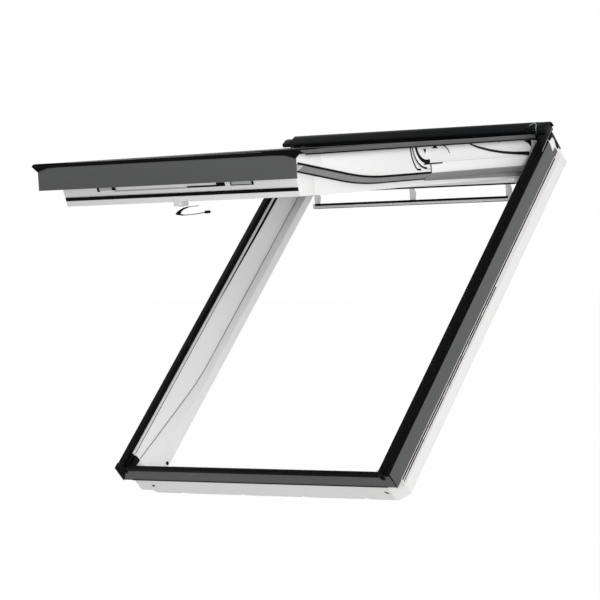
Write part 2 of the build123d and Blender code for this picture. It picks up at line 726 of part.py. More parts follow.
arm_bend = 990
with BuildPart() as hinge_arm:
    # channel that opens towards the sash, rounded about the cleaning pivot at its lower end
    with BuildSketch(facing_x(arm_outer - arm_wall)):
        with BuildLine():
            start = (pivot_y - (arm_round ** 2 - (arm_top_z - pivot_z) ** 2) ** 0.5, arm_top_z)
            bottom = (pivot_y, pivot_z - arm_round)
            middle = (pivot_y + arm_round * cos(radians(222)), pivot_z + arm_round * sin(radians(222)))
            ThreePointArc(start, middle, bottom)
            Polyline(
                bottom, (cover_from, pivot_z - arm_round), (cover_from, arm_low_z), (arm_bend, arm_low_z),
                (hinge_y - 22, hinge_z - 9), (hinge_y, hinge_z - 11),
            )
            ThreePointArc((hinge_y, hinge_z - 11), (arm_end_y, hinge_z), (hinge_y, hinge_z + 11))
            Polyline(
                (hinge_y, hinge_z + 11), (hinge_y - 22, hinge_z + 24), (hinge_y - 36, arm_top_z - 4),
                (hinge_y - 42, arm_top_z), start,
            )
        make_face()
    extrude(amount=arm_wall)
    # flanges
    block(arm_inner, arm_outer, pivot_y + 80, hinge_y - 44, arm_top_z - arm_wall, arm_top_z)
    block(arm_inner, arm_outer, pivot_y + 80, arm_bend, arm_low_z, arm_low_z + arm_wall)
    # eyes for the pin
    pin(arm_inner + 3.6, arm_outer, hinge_y, hinge_z, 11)
    pin(arm_inner, arm_outer + 1, hinge_y, hinge_z, hinge_pin_radius + running_fit, mode=Mode.SUBTRACT)
    # shoe that runs round the pivot rail
    shoe_outer = arm_outer - arm_wall
    arc_band(narrow_half + 0.6, shoe_outer, 54.7, 59.5, 187, 203)
    arc_band(narrow_half + 0.6, shoe_outer, 38.5, 43.3, 187, 203)
    arc_band(arm_inner, shoe_outer, 38.5, 59.5, 187, 203)
    # openings and grooves pressed in the round end
    arc_band(arm_outer - groove, arm_outer + 1, 41, 50, 192, 286, mode=Mode.SUBTRACT)
    triangle = [(pivot_y - 14, -2.4), (pivot_y - 2, -2.4), (pivot_y - 7, -13.4)]
    across(triangle, arm_outer - groove, arm_outer + 1, mode=Mode.SUBTRACT)
    slot = [
        (pivot_y + 24, -2.4), (pivot_y + 49, -2.4), (pivot_y + 44, 1.4), (pivot_y + 36, 3),
        (pivot_y + 28, 1.4),
    ]
    across(slot, arm_outer - groove, arm_outer + 1, mode=Mode.SUBTRACT)
    with BuildSketch(facing_x(arm_outer - 1)):
        with BuildLine() as bow:
            Spline((pivot_y + 68, 4), (pivot_y + 86, -3), (pivot_y + 98, -16))
        trace(bow.line, line_width=2)
    extrude(amount=2, mode=Mode.SUBTRACT)
save_pair(hinge_arm, "hinge_arm", swung)

with BuildPart() as arm_cover:
    # white moulding under the arm that closes down on the frame ledge
    moulding = [
        (arm_inner, arm_low_z - 0.2), (arm_outer, arm_low_z - 0.2), (arm_outer, band_flat_z + 1.4),
        (arm_inner, band_flat_z + 1.4),
    ]
    up_slope(moulding, cover_from, arm_bend)
save_pair(arm_cover, "arm_cover", swung)

with BuildPart() as arm_seal:
    # sloped seal below the moulding, and the strip under the edge of the cladding
    wedge = [
        (arm_inner, band_flat_z + 1.4), (wide_half, band_flat_z + 1.4), (wide_half, band_flat_z - 1),
        (arm_inner, band_flat_z - 12),
    ]
    up_slope(wedge, cover_from, arm_bend)
    block(arm_outer, 360, sash_split + 2, sash_end - 4, outer_z - 11, outer_z - edge_drop - 0.2)
    block(arm_outer, 358.8, sash_split + 2, sash_end - 4, outer_z - edge_drop - 0.2, outer_z - 5)
    # dark filling in the crescent of the round end
    arc_band(arm_outer - groove, arm_outer - 0.7, 41, 50, 192, 286)
save_pair(arm_seal, "arm_seal", swung)

with BuildPart() as arm_cladding:
    up_slope(side_fold(arm_inner - 2), sash_split + 1, sash_end + 2)
    # the raised edge stops short of the hood
    block(sash_half - 8, sash_half + 1, sash_end - 5, sash_end + 3, outer_z, outer_z + 3, mode=Mode.SUBTRACT)
    # under-fold that sits on the arm
    block(arm_inner + 2, arm_outer - 2, pivot_y + 90, sash_end - 10, arm_top_z, outer_z - sheet)
save_pair(arm_cladding, "arm_cladding", swung)

with BuildPart() as hinge_link:
    # slim curved link that lies on the outside of the arm and thickens towards the hinge
    with BuildSketch(facing_x(arm_outer)):
        with BuildLine():
            Spline((720, -2), (804, -18.4), (909, -29), (984, -34), tangents=((1, -0.25), (1, 0)))
            Line((984, -34), (984, -26))
            Spline((984, -26), (909, -24), (804, -14.8), (720, 1), tangents=((-1, 0), (-1, 0.25)))
            Line((720, 1), (720, -2))
        make_face()
    extrude(amount=1.8)
save_pair(hinge_link, "hinge_link", swung)
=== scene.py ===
import json
from math import cos, radians, sin

import bpy
from mathutils import Matrix, Vector


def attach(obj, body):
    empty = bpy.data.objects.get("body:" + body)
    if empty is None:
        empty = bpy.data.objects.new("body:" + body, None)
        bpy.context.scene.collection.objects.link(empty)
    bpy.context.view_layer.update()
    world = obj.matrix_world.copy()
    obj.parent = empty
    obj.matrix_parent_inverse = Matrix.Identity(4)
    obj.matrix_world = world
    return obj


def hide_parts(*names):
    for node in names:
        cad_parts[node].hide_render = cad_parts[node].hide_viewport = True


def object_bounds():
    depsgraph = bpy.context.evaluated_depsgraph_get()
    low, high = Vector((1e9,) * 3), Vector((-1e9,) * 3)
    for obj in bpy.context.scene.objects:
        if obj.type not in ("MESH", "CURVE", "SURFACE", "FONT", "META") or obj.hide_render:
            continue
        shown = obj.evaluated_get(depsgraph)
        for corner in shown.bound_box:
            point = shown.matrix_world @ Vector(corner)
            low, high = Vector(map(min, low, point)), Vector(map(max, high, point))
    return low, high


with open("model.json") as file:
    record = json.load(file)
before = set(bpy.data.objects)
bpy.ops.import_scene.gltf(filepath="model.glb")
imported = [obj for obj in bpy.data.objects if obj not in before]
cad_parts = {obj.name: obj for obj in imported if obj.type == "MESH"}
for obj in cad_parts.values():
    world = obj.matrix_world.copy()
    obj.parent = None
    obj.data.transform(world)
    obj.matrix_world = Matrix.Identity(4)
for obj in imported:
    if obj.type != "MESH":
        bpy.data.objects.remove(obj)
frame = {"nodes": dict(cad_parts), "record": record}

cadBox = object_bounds()
bpy.ops.object.select_all(action="DESELECT")
print("frame loaded")

# The window is drawn flat with its sash shut, in mm, then tilted to the roof and its sash swung open
mm = 0.001
roofPlace = {"pitch": 45, "originUp": 24, "depth": 97}
hingePlace = {"up": 1039, "out": -50, "opened": 42.5}


def turnX(degrees):
    return Matrix.Rotation(radians(degrees), 4, "X")


roofOrigin = Matrix.Translation((0, -roofPlace["originUp"] * mm, roofPlace["depth"] * mm))
onRoof = turnX(roofPlace["pitch"]) @ roofOrigin
hingePoint = Vector((0, hingePlace["up"] * mm, hingePlace["out"] * mm))
swing = Matrix.Translation(hingePoint) @ turnX(-hingePlace["opened"]) @ Matrix.Translation(-hingePoint)
onSash = onRoof @ swing


# Node groups that the finishes share

def startGroup(name, inputs, outputs):
    group = bpy.data.node_groups.new(name, "ShaderNodeTree")
    for label, (kind, value) in inputs.items():
        socket = group.interface.new_socket(name=label, in_out="INPUT", socket_type="NodeSocket" + kind)
        socket.default_value = value
    for label, kind in outputs.items():
        group.interface.new_socket(name=label, in_out="OUTPUT", socket_type="NodeSocket" + kind)
    return group, group.nodes.new("NodeGroupInput"), group.nodes.new("NodeGroupOutput")


def addNode(tree, kind, settings=None, **links):
    node = tree.nodes.new("ShaderNode" + kind)
    for name, value in (settings or {}).items():
        if name in node.inputs:
            node.inputs[name].default_value = value
        else:
            setattr(node, name, value)
    for name, source in links.items():
        tree.links.new(source, node.inputs[name.replace("_", " ")])
    return node


def mathNode(tree, operation, first, second):
    node = tree.nodes.new("ShaderNodeMath")
    node.operation = operation
    for socket, value in zip(node.inputs, (first, second)):
        if isinstance(value, (int, float)):
            socket.default_value = value
        else:
            tree.links.new(value, socket)
    return node.outputs[0]


def mixColors(tree, factor, first, second):
    node = tree.nodes.new("ShaderNodeMix")
    node.data_type = "RGBA"
    for name, value in (("Factor_Float", factor), ("A_Color", first), ("B_Color", second)):
        tree.links.new(value, next(socket for socket in node.inputs if socket.identifier == name))
    return next(socket for socket in node.outputs if socket.identifier == "Result_Color")


def makePatchGroup():  # broad, soft unevenness of colour and gloss
    inputs = {"Base": ("Color", (0.5, 0.5, 0.5, 1)), "Shade": ("Color", (0.4, 0.4, 0.4, 1)),
              "Patch Scale": ("Float", 8), "Amount": ("Float", 0.4), "Roughness": ("Float", 0.4),
              "Gloss Spread": ("Float", 0.1)}
    group, start, end = startGroup("softPatches", inputs, {"Color": "Color", "Roughness": "Float"})
    place = addNode(group, "TexCoord")
    cloud = addNode(group, "TexNoise", {"Detail": 4.0, "Roughness": 0.6}, Vector=place.outputs["Object"],
                    Scale=start.outputs["Patch Scale"])
    factor = mathNode(group, "MULTIPLY", cloud.outputs["Fac"], start.outputs["Amount"])
    color = mixColors(group, factor, start.outputs["Base"], start.outputs["Shade"])
    centred = mathNode(group, "SUBTRACT", cloud.outputs["Fac"], 0.5)
    spread = mathNode(group, "MULTIPLY", centred, start.outputs["Gloss Spread"])
    rough = mathNode(group, "ADD", start.outputs["Roughness"], spread)
    group.links.new(color, end.inputs["Color"])
    group.links.new(rough, end.inputs["Roughness"])
    return group


def makeEdgeGroup():  # edges lighter: paint worn thin there, and a painted highlight along them
    inputs = {"Color": ("Color", (0.5, 0.5, 0.5, 1)), "Edge Color": ("Color", (0.7, 0.7, 0.7, 1)),
              "Width": ("Float", 0.001), "Amount": ("Float", 0.5)}
    group, start, end = startGroup("edgeRub", inputs, {"Color": "Color"})
    rounded = addNode(group, "Bevel", {"samples": 4}, Radius=start.outputs["Width"])
    shape = addNode(group, "NewGeometry")
    dot = group.nodes.new("ShaderNodeVectorMath")
    dot.operation = "DOT_PRODUCT"
    group.links.new(rounded.outputs[0], dot.inputs[0])
    group.links.new(shape.outputs["Normal"], dot.inputs[1])
    turned = mathNode(group, "SUBTRACT", 1.0, dot.outputs["Value"])
    place = addNode(group, "TexCoord")
    chips = addNode(group, "TexNoise", {"Scale": 90.0, "Detail": 3.0}, Vector=place.outputs["Object"])
    broken = mathNode(group, "MULTIPLY", turned, chips.outputs["Fac"])
    strength = mathNode(group, "MULTIPLY", broken, start.outputs["Amount"])
    factor = mathNode(group, "MINIMUM", strength, 1.0)
    color = mixColors(group, factor, start.outputs["Color"], start.outputs["Edge Color"])
    group.links.new(color, end.inputs["Color"])
    return group


def makeGrainGroup():  # height of a fine surface, stretched up the slope where its stretch is over one
    inputs = {"Grain Scale": ("Float", 600), "Stretch": ("Float", 1), "Tilt": ("Float", 0)}
    group, start, end = startGroup("fineGrain", inputs, {"Height": "Float"})
    place = addNode(group, "TexCoord")
    turn = addNode(group, "VectorRotate", {"rotation_type": "X_AXIS"}, Vector=place.outputs["Object"],
                   Angle=start.outputs["Tilt"])
    parts = addNode(group, "SeparateXYZ", Vector=turn.outputs[0])
    along = mathNode(group, "DIVIDE", parts.outputs["Y"], start.outputs["Stretch"])
    joined = addNode(group, "CombineXYZ", X=parts.outputs["X"], Y=along, Z=parts.outputs["Z"])
    grain = addNode(group, "TexNoise", {"Detail": 5.0, "Roughness": 0.65}, Vector=joined.outputs[0],
                    Scale=start.outputs["Grain Scale"])
    group.links.new(grain.outputs["Fac"], end.inputs["Height"])
    return group


softPatches = makePatchGroup()
edgeRub = makeEdgeGroup()
fineGrain = makeGrainGroup()
print("node groups made")


def useGroup(tree, group, values, **links):
    node = tree.nodes.new("ShaderNodeGroup")
    node.node_tree = group
    for name, value in values.items():
        node.inputs[name].default_value = value
    for name, source in links.items():
        tree.links.new(source, node.inputs[name.replace("_", " ")])
    return node


def grey(level, warmth=0.0):
    return (level * (1 + warmth), level, level * (1 - warmth), 1)


def makeFinish(name, look):
    finish = bpy.data.materials.new(name)
    finish.use_nodes = True
    tree = finish.node_tree
    shader = tree.nodes["Principled BSDF"]
    patches = useGroup(tree, softPatches, {
        "Base": look["color"], "Shade": look["shade"], "Patch Scale": look.get("patchScale", 7),
        "Amount": look.get("patchAmount", 0.5), "Roughness": look["roughness"],
        "Gloss Spread": look.get("glossSpread", 0.15),
    })
    color = patches.outputs["Color"]
    # Lighter edges: partly wear, partly a painted highlight along the edges
    if "edgeColor" in look:
        wearAndHighlight = useGroup(tree, edgeRub, {
            "Edge Color": look["edgeColor"], "Width": look.get("edgeWidth", 0.0012),
            "Amount": look.get("edgeAmount", 1.5),
        }, Color=color)
        color = wearAndHighlight.outputs["Color"]
    tree.links.new(color, shader.inputs["Base Color"])
    tree.links.new(patches.outputs["Roughness"], shader.inputs["Roughness"])
    grain = useGroup(tree, fineGrain, {
        "Grain Scale": look.get("grainScale", 700), "Stretch": look.get("stretch", 1),
        "Tilt": radians(look.get("tilt", 0)),
    })
    relief = {"Strength": look.get("bump", 0.2), "Distance": look.get("bumpDepth", 0.0003)}
    bump = addNode(tree, "Bump", relief, Height=grain.outputs["Height"])
    tree.links.new(bump.outputs[0], shader.inputs["Normal"])
    shader.inputs["Metallic"].default_value = look.get("metallic", 0)
    shader.inputs["Specular IOR Level"].default_value = look.get("specular", 0.5)
    shader.inputs["Coat Weight"].default_value = look.get("coat", 0)
    shader.inputs["Coat Roughness"].default_value = look.get("coatRoughness", 0.1)
    return finish


finishLooks = {
    "grey_metal": {"color": grey(0.09, -0.015), "shade": grey(0.075, -0.015), "roughness": 0.42, "bump": 0.25,
                   "grainScale": 1400, "edgeColor": grey(0.2), "edgeAmount": 1.2, "specular": 0.35},
    "hood_metal": {"color": grey(0.008, -0.1), "shade": grey(0.006, -0.1), "roughness": 0.3, "bump": 0.2,
                   "grainScale": 1400, "edgeColor": grey(0.04), "edgeAmount": 0.6, "specular": 0.07},
    "black_rubber": {"color": grey(0.004), "shade": grey(0.006), "roughness": 0.45, "bump": 0.35,
                     "grainScale": 900, "specular": 0.035, "glossSpread": 0.3},
    # Mid grey: painted shade on the ledge line and the stile's side, and the grey of the band and arm
    # gaskets, which also paints their shade
    "greyRubber": {"color": grey(0.3), "shade": grey(0.2), "roughness": 0.55, "bump": 0.3,
                   "grainScale": 900, "specular": 0.15},
    "white_timber": {"color": grey(0.84, 0.004), "shade": grey(0.79, 0.006), "roughness": 0.36, "bump": 0.16,
                     "grainScale": 420, "stretch": 22, "tilt": -45, "patchScale": 4, "coat": 0.12},
    "white_plastic": {"color": grey(0.83), "shade": grey(0.79), "roughness": 0.4, "bump": 0.12,
                      "grainScale": 1600, "patchScale": 9},
    "white_steel": {"color": grey(0.82), "shade": grey(0.78), "roughness": 0.33, "bump": 0.15,
                    "grainScale": 1500, "edgeColor": grey(0.9), "edgeAmount": 0.6},
    "zinc_steel": {"color": grey(0.55, -0.01), "shade": grey(0.42, -0.01), "roughness": 0.34, "bump": 0.2,
                   "metallic": 1, "patchScale": 60, "patchAmount": 0.8},
    "black_steel": {"color": grey(0.004), "shade": grey(0.008), "roughness": 0.42, "bump": 0.2,
                    "edgeColor": grey(0.1), "edgeAmount": 0.6, "specular": 0.08},
    "black_plastic": {"color": grey(0.004), "shade": grey(0.008), "roughness": 0.5, "bump": 0.3,
                      "grainScale": 1500, "specular": 0.06},
    "bar_metal": {"color": grey(0.74), "shade": grey(0.66), "roughness": 0.3, "bump": 0.12,
                  "grainScale": 500, "metallic": 0.35, "patchScale": 12},
    "spacer_metal": {"color": grey(0.5), "shade": grey(0.42), "roughness": 0.45, "metallic": 0.9,
                     "grainScale": 900},
}
finishLooks["paleRail"] = {**finishLooks["white_plastic"], "color": (0.74, 0.705, 0.705, 1),
                           "shade": grey(0.72)}
finishes = {name: makeFinish(name, look) for name, look in finishLooks.items()}


def makeGlass():
    look = {"color": (0.93, 0.98, 0.96, 1), "shade": (0.88, 0.95, 0.92, 1), "patchScale": 5,
            "patchAmount": 0.2, "roughness": 0.02, "glossSpread": 0.02, "ior": 1.5}
    finish = bpy.data.materials.new("glass")
    finish.use_nodes = True
    tree = finish.node_tree
    shader = tree.nodes["Principled BSDF"]
    patches = useGroup(tree, softPatches, {
        "Base": look["color"], "Shade": look["shade"], "Patch Scale": look["patchScale"],
        "Amount": look["patchAmount"], "Roughness": look["roughness"], "Gloss Spread": look["glossSpread"],
    })
    tree.links.new(patches.outputs["Color"], shader.inputs["Base Color"])
    tree.links.new(patches.outputs["Roughness"], shader.inputs["Roughness"])
    shader.inputs["Transmission Weight"].default_value = 1
    shader.inputs["IOR"].default_value = look["ior"]
    return finish


finishes["glass"] = makeGlass()

# Every CAD node takes the finish of its slot, and the fixing rails a paler one
nodeSlot = {row["node"]: row["material_slot"] for row in frame["record"]["subparts"]}
for nodeName, slotName in nodeSlot.items():
    shape = frame["nodes"][nodeName].data
    shape.materials.clear()
    shape.materials.append(finishes[slotName])
nodeFinish = {"frame_side_rail_right": "paleRail", "frame_side_rail_left": "paleRail"}
print("finishes made")


# Rounded edges: a copy of the CAD node, merged and beveled, stands for it

meshing = {"merge": 0.00001, "flat": radians(1), "corner": radians(32), "smooth": radians(35), "steps": 2,
           "parallel": 0.99, "reach": 0.2}


def bodyOf(nodeName):
    bodies = frame["record"]["behaviour"]["bodies"]
    return next(body for body, members in bodies.items() if nodeName in members)


def plainName(nodeName):
    words = nodeName.split("_")
    return words[0] + "".join(word.capitalize() for word in words[1:])


def selectOnly(piece):
    bpy.ops.object.select_all(action="DESELECT")
    piece.select_set(True)
    bpy.context.view_layer.objects.active = piece


def applyModifier(piece, kind, **settings):
    selectOnly(piece)
    modifier = piece.modifiers.new(kind.lower(), kind)
    for name, value in settings.items():
        setattr(modifier, name, value)
    bpy.ops.object.modifier_apply(modifier=modifier.name)


def bevelCorners(piece, width, **settings):
    applyModifier(piece, "BEVEL", width=width * mm, segments=meshing["steps"], limit_method="ANGLE",
                  angle_limit=meshing["corner"], **settings)


# Large faces of these break when they are merged into one polygon
keepTriangles = ("frame_bottom_rail", "frame_side_rail_right", "frame_side_rail_left")


def roundNode(nodeName, edge):
    piece = bpy.data.objects.new(plainName(nodeName), frame["nodes"][nodeName].data.copy())
    bpy.context.scene.collection.objects.link(piece)
    selectOnly(piece)
    bpy.ops.object.mode_set(mode="EDIT")
    bpy.ops.mesh.select_all(action="SELECT")
    bpy.ops.mesh.remove_doubles(threshold=meshing["merge"])
    if nodeName not in keepTriangles:
        bpy.ops.mesh.dissolve_limited(angle_limit=meshing["flat"])
    bpy.ops.object.mode_set(mode="OBJECT")
    bevelCorners(piece, edge, miter_outer="MITER_ARC")
    bpy.ops.object.shade_smooth_by_angle(angle=meshing["smooth"])
    if nodeName in keepTriangles:
        applyModifier(piece, "WEIGHTED_NORMAL", keep_sharp=True)
    piece.data.materials.clear()
    piece.data.materials.append(finishes[nodeFinish.get(nodeName, nodeSlot[nodeName])])
    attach(piece, bodyOf(nodeName))
    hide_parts(nodeName)


edgeWidths = {
    "frame_jamb": 1.5, "frame_bottom_rail": 1.5, "frame_top_rail": 1.5, "frame_side_cladding": 0.5,
    "frame_bottom_cladding": 0.5, "frame_top_cladding": 0.5, "frame_side_rail": 0.8,
    "sash_stile": 1.5, "sash_bottom_rail": 1.5, "sash_top_rail": 1.5, "sash_front_cladding": 0.5,
    "sash_side_cladding": 0.5, "sash_top_cladding": 0.5, "arm_cover": 0.8,
    "hinge_arm": 0.6, "arm_cladding": 0.5, "flap_housing": 1.2,
}
for stem, edge in edgeWidths.items():
    for nodeName in (stem, stem + "_right", stem + "_left"):
        if nodeName in nodeSlot:
            roundNode(nodeName, edge)
print("edges rounded")


# Tools for the detail pieces: sections in mm across an axis, extruded over a span, then put in their place

def sectionPoint(point, axis, along):
    first, second = point
    place = {"x": (along, first, second), "y": (first, along, second), "z": (first, second, along)}[axis]
    return Vector(place) * mm


def pickEdges(piece, wanted):
    bpy.ops.mesh.select_mode(type="EDGE")
    bpy.ops.mesh.select_all(action="DESELECT")
    bpy.ops.object.mode_set(mode="OBJECT")
    corners = piece.data.vertices
    for edge in piece.data.edges:
        start, end = (corners[i].co / mm for i in edge.vertices)
        edge.select = wanted((start + end) / 2, end - start)
    bpy.ops.object.mode_set(mode="EDIT")


def startPoint(name, place):  # one loose point in edit mode, ready to be extruded
    bpy.ops.object.select_all(action="DESELECT")
    bpy.ops.mesh.primitive_plane_add(size=mm, location=(0, 0, 0))
    piece = bpy.context.object
    piece.name = name
    bpy.ops.object.mode_set(mode="EDIT")
    bpy.ops.mesh.select_mode(type="VERT")
    bpy.ops.mesh.select_all(action="SELECT")
    bpy.ops.mesh.merge(type="CENTER")
    bpy.ops.transform.translate(value=place)
    return piece


def drawChain(points):
    for here, there in zip(points, points[1:]):
        bpy.ops.mesh.extrude_vertices_move(TRANSFORM_OT_translate={"value": there - here})
    bpy.ops.mesh.select_all(action="SELECT")


def cleanNormals():
    bpy.ops.mesh.select_all(action="SELECT")
    bpy.ops.mesh.remove_doubles(threshold=meshing["merge"])
    bpy.ops.mesh.normals_make_consistent(inside=False)


def drawSection(name, look):  # closed outline, filled and extruded along its axis, its long corners rounded
    axis, span = look["axis"], look["span"]
    points = [sectionPoint(point, axis, span[0]) for point in look["points"]]
    piece = startPoint(name, points[0])
    drawChain(points + points[:1])
    bpy.ops.mesh.remove_doubles(threshold=meshing["merge"])
    bpy.ops.mesh.edge_face_add()
    bpy.ops.mesh.extrude_region_move(
        TRANSFORM_OT_translate={"value": sectionPoint((0, 0), axis, span[1] - span[0])})
    cleanNormals()
    along = sectionPoint((0, 0), axis, 1) / mm
    for first, second, radius in look.get("rounds", ()):
        corner = sectionPoint((first, second), axis, 0) / mm

        def isCorner(middle, run, corner=corner):
            offset = middle - corner
            aside = (offset - along * offset.dot(along)).length
            return abs(run.normalized().dot(along)) > meshing["parallel"] and aside < meshing["reach"]

        pickEdges(piece, isCorner)
        bpy.ops.mesh.bevel(offset=radius * mm, segments=look.get("steps", 4), affect="EDGES")
    bpy.ops.object.mode_set(mode="OBJECT")
    return piece


def finishPiece(piece, look):
    if "edge" in look:
        bevelCorners(piece, look["edge"])
    selectOnly(piece)
    piece.data.transform(onRoof if look["body"] == "frame" else onSash)
    bpy.ops.object.shade_smooth_by_angle(angle=meshing["smooth"])
    piece.data.materials.clear()
    piece.data.materials.append(finishes[look.get("finish", look["slot"])])
    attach(piece, look["body"])
    for nodeName in look.get("standsFor", ()):
        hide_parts(nodeName)


def mirrorTwin(piece, name):
    twin = bpy.data.objects.new(name, piece.data.copy())
    bpy.context.scene.collection.objects.link(twin)
    twin.data.transform(Matrix.Scale(-1, 4, (1, 0, 0)))
    selectOnly(twin)
    bpy.ops.object.mode_set(mode="EDIT")
    cleanNormals()
    bpy.ops.object.mode_set(mode="OBJECT")
    return twin


def joinPieces(pieces, name):
    if len(pieces) > 1:
        selectOnly(pieces[0])
        for piece in pieces[1:]:
            piece.select_set(True)
        bpy.ops.object.join()
    pieces[0].name = name
    return pieces[0]


def makePiece(name, look):  # each part is drawn with the piece's own values unless it has another
    parts = [drawSection(name + "Part", {**look, **part}) for part in look.get("parts", [{}])]
    return joinPieces(parts, name)


def makeSingle(name, look):
    finishPiece(makePiece(name, look), look)


def makePair(name, look):  # drawn on the right and mirrored; "node" names the CAD node without its side
    right = makePiece(name + "Right", look)
    left = mirrorTwin(right, name + "Left")
    stem = look.get("node")
    for piece, side in ((right, "_right"), (left, "_left")):
        sideLook = {**look, "standsFor": [stem + side]} if stem else look
        finishPiece(piece, sideLook)


def box(first, second, third, fourth):  # outline of a rectangle from one corner to the other
    return [(first, third), (second, third), (second, fourth), (first, fourth)]


def stroke(points, width):  # outline of a line of even width
    left, right = [], []
    for i, point in enumerate(points):
        before, after = Vector(points[max(i - 1, 0)]), Vector(points[min(i + 1, len(points) - 1)])
        run = (after - before).normalized()
        across = Vector((-run.y, run.x)) * width / 2
        left.append(tuple(Vector(point) + across))
        right.append(tuple(Vector(point) - across))
    return left + right[::-1]


def arcPoints(center, radius, start, end, steps):
    angles = [radians(start + (end - start) * i / steps) for i in range(steps + 1)]
    return [(center[0] + radius * cos(a), center[1] + radius * sin(a)) for a in angles]


# Hood, with its ends and the clip that grips it; the clip is drawn as light metal strokes along its edges,
# painted highlights

def hoodOutline(top, back, skirt):
    return [(1055, 25.4), (1055, 35), (1080, top), (back, top - 17), (back, skirt), (back - 2, skirt),
            (back - 2, 20.4), (back - 6, 25.4)]


def hoodRounds(top, back):
    return [(1055, 35, 5), (1080, top, 8), (back, top - 17, 8)]


hoodLook = {"axis": "x", "body": "frame", "slot": "hood_metal", "edge": 0.5,
            "points": hoodOutline(40, 1098, 4), "rounds": hoodRounds(40, 1098), "span": (-362, 362),
            "standsFor": ["hood"]}
makeSingle("hoodShell", hoodLook)
hoodRightLook = {
    "axis": "x", "body": "frame", "slot": "hood_metal", "edge": 2.2, "standsFor": ["hood_end_right"],
    "parts": [
        {"points": hoodOutline(39.6, 1097.5, 8), "rounds": hoodRounds(39.6, 1097.5), "span": (362.4, 390)},
        {"points": [(1030, 1.4), (1094, 1.4), (1094, 27), (1070, 27), (1046, 13)], "span": (362.8, 386.6)},
    ],
}
makeSingle("hoodEndRight", hoodRightLook)
hoodLeftLook = {"axis": "x", "body": "frame", "slot": "hood_metal", "edge": 0.9,
                "points": hoodOutline(32, 1092, 18.4), "rounds": hoodRounds(32, 1092), "span": (-390, -362.4),
                "standsFor": ["hood_end_left"]}
makeSingle("hoodEndLeft", hoodLeftLook)
coverEdgeLook = {"axis": "x", "body": "frame", "slot": "zinc_steel", "span": (386.4, 387.4),
                 "points": stroke([(1014, 3.4), (1040, 5), (1092, 8)], 1.3)}
makeSingle("coverEdge", coverEdgeLook)
# Light strokes along the clip's outline: its metal edges, painted as highlights
clipHighlightLook = {
    "axis": "y", "body": "frame", "slot": "zinc_steel", "span": (1052.6, 1055.4),
    "parts": [
        {"points": stroke([(368.5, 37), (367, 31), (364, 25.6)], 1.5)},
        {"points": stroke([(343, 36), (350, 31), (347, 26)], 1.5)},
        {"axis": "z", "span": (35.4, 41),
         "points": stroke([(343, 1055), (348, 1070), (357, 1077), (365, 1070), (369, 1055)], 1.7)},
    ],
}
makeSingle("clipEdge", clipHighlightLook)
print("hood made")


# Weather strips of the frame, and the white lip beside them

sideStripLook = {
    "axis": "y", "body": "frame", "slot": "black_rubber", "span": (14, 1052), "edge": 0.4, "steps": 3,
    "node": "frame_side_seal",
    "parts": [
        {"points": [(362.2, 0), (362.2, 9), (364, 10.8), (369.5, 10.8), (371.5, 8), (373, 2), (374, 1.4),
                    (389, 1.2), (389, 0)]},
        {"axis": "x", "points": [(560, -1), (1046, -1), (1046, -9.5), (800, -8), (560, -2.8)],
         "span": (353.9, 355.2)},
        {"points": box(354.6, 355.3, -2.8, -1), "span": (46, 560)},
    ],
}
makePair("sideStrip", sideStripLook)
lipLook = {"axis": "y", "body": "frame", "slot": "white_plastic", "span": (44, 1046), "edge": 0.5,
           "points": box(355.4, 362, -2, 1.6)}
makePair("jambLip", lipLook)

frontStripLook = {
    "axis": "x", "body": "frame", "slot": "black_rubber", "span": (-359, 359), "edge": 0.5,
    "standsFor": ["frame_bottom_seal"],
    "parts": [
        {"points": [(7.5, 0), (7.5, 1.2), (5, 2.6), (0, 2.6), (-1.4, 1.6), (-1.4, -9), (-0.1, -9),
                    (-0.1, 0)]},
        {"points": box(-0.9, -0.1, -44.2, -41.8), "span": (-364, 364), "edge": 0.2},
    ],
}
makeSingle("frontStrip", frontStripLook)

# Soft pieces over the front corners, the left one with a fuller pad
cornerLook = {
    "axis": "z", "body": "frame", "slot": "black_rubber", "edge": 0.9,
    "parts": [
        {"points": box(359.3, 390.2, -2.3, 13.9), "span": (0.1, 2.6), "rounds": [(390.2, -2.3, 2)]},
        {"points": box(362.3, 372.4, -2.3, 13.8), "span": (2.4, 9.6)},
        {"points": box(359.3, 390.2, -2.3, -0.2), "span": (-4, 0.3)},
        {"axis": "y", "points": [(388, 0.5), (390.3, 0.5), (390.3, -43.8), (389.6, -42)],
         "span": (-2.3, -0.2)},
        {"axis": "y", "points": arcPoints((366, -11), 6.4, 0, 337.5, 15), "span": (-2.2, -0.2)},
    ],
}
makeSingle("cornerRight", {**cornerLook, "standsFor": ["frame_corner_bumper_right"]})
leftCornerParts = [
    {"axis": "z", "points": box(351.6, 362.4, 8.2, 41), "span": (-2, 4.6), "rounds": [(351.6, 41, 6)]},
    {"axis": "x", "points": [(8.4, -17), (36, -22), (42, -22.8), (44, -16), (42, -3), (37, 3), (8.4, 3)],
     "span": (351.6, 354.9)},
    {"axis": "y", "points": [(346, -15), (359, -15), (359, 3.6), (352, 3.6), (348, -4)], "span": (7.6, 9.8)},
    {"axis": "y", "points": [(390.3, 0.5), (389, -43.8), (382, -34), (368, -14), (366, 0.5)],
     "span": (-2.3, -0.2)},
]
leftCorner = makePiece("cornerLeftSource", {**cornerLook, "parts": cornerLook["parts"] + leftCornerParts})
cornerLeft = mirrorTwin(leftCorner, "cornerLeft")
bpy.data.objects.remove(leftCorner)
finishPiece(cornerLeft, {**cornerLook, "standsFor": ["frame_corner_bumper_left"]})

# Painted shadow as a grey line where the ledge meets the jamb, a plug, dark lines along the outer side, and a
# painted highlight below the side cladding
ledge = {"front": -16.4, "flat": -72.5, "fall": 0.163, "blend": 72}


def slopedHeight(y, shape):  # straight fall, soft bend, then level
    corner = (shape["front"] - shape["flat"]) / shape["fall"]
    reach = corner + shape["blend"] - y
    if reach <= 0:
        return shape["flat"]
    if y <= corner - shape["blend"]:
        return shape["front"] - shape["fall"] * y
    return shape["flat"] + shape["fall"] * reach ** 2 / (4 * shape["blend"])


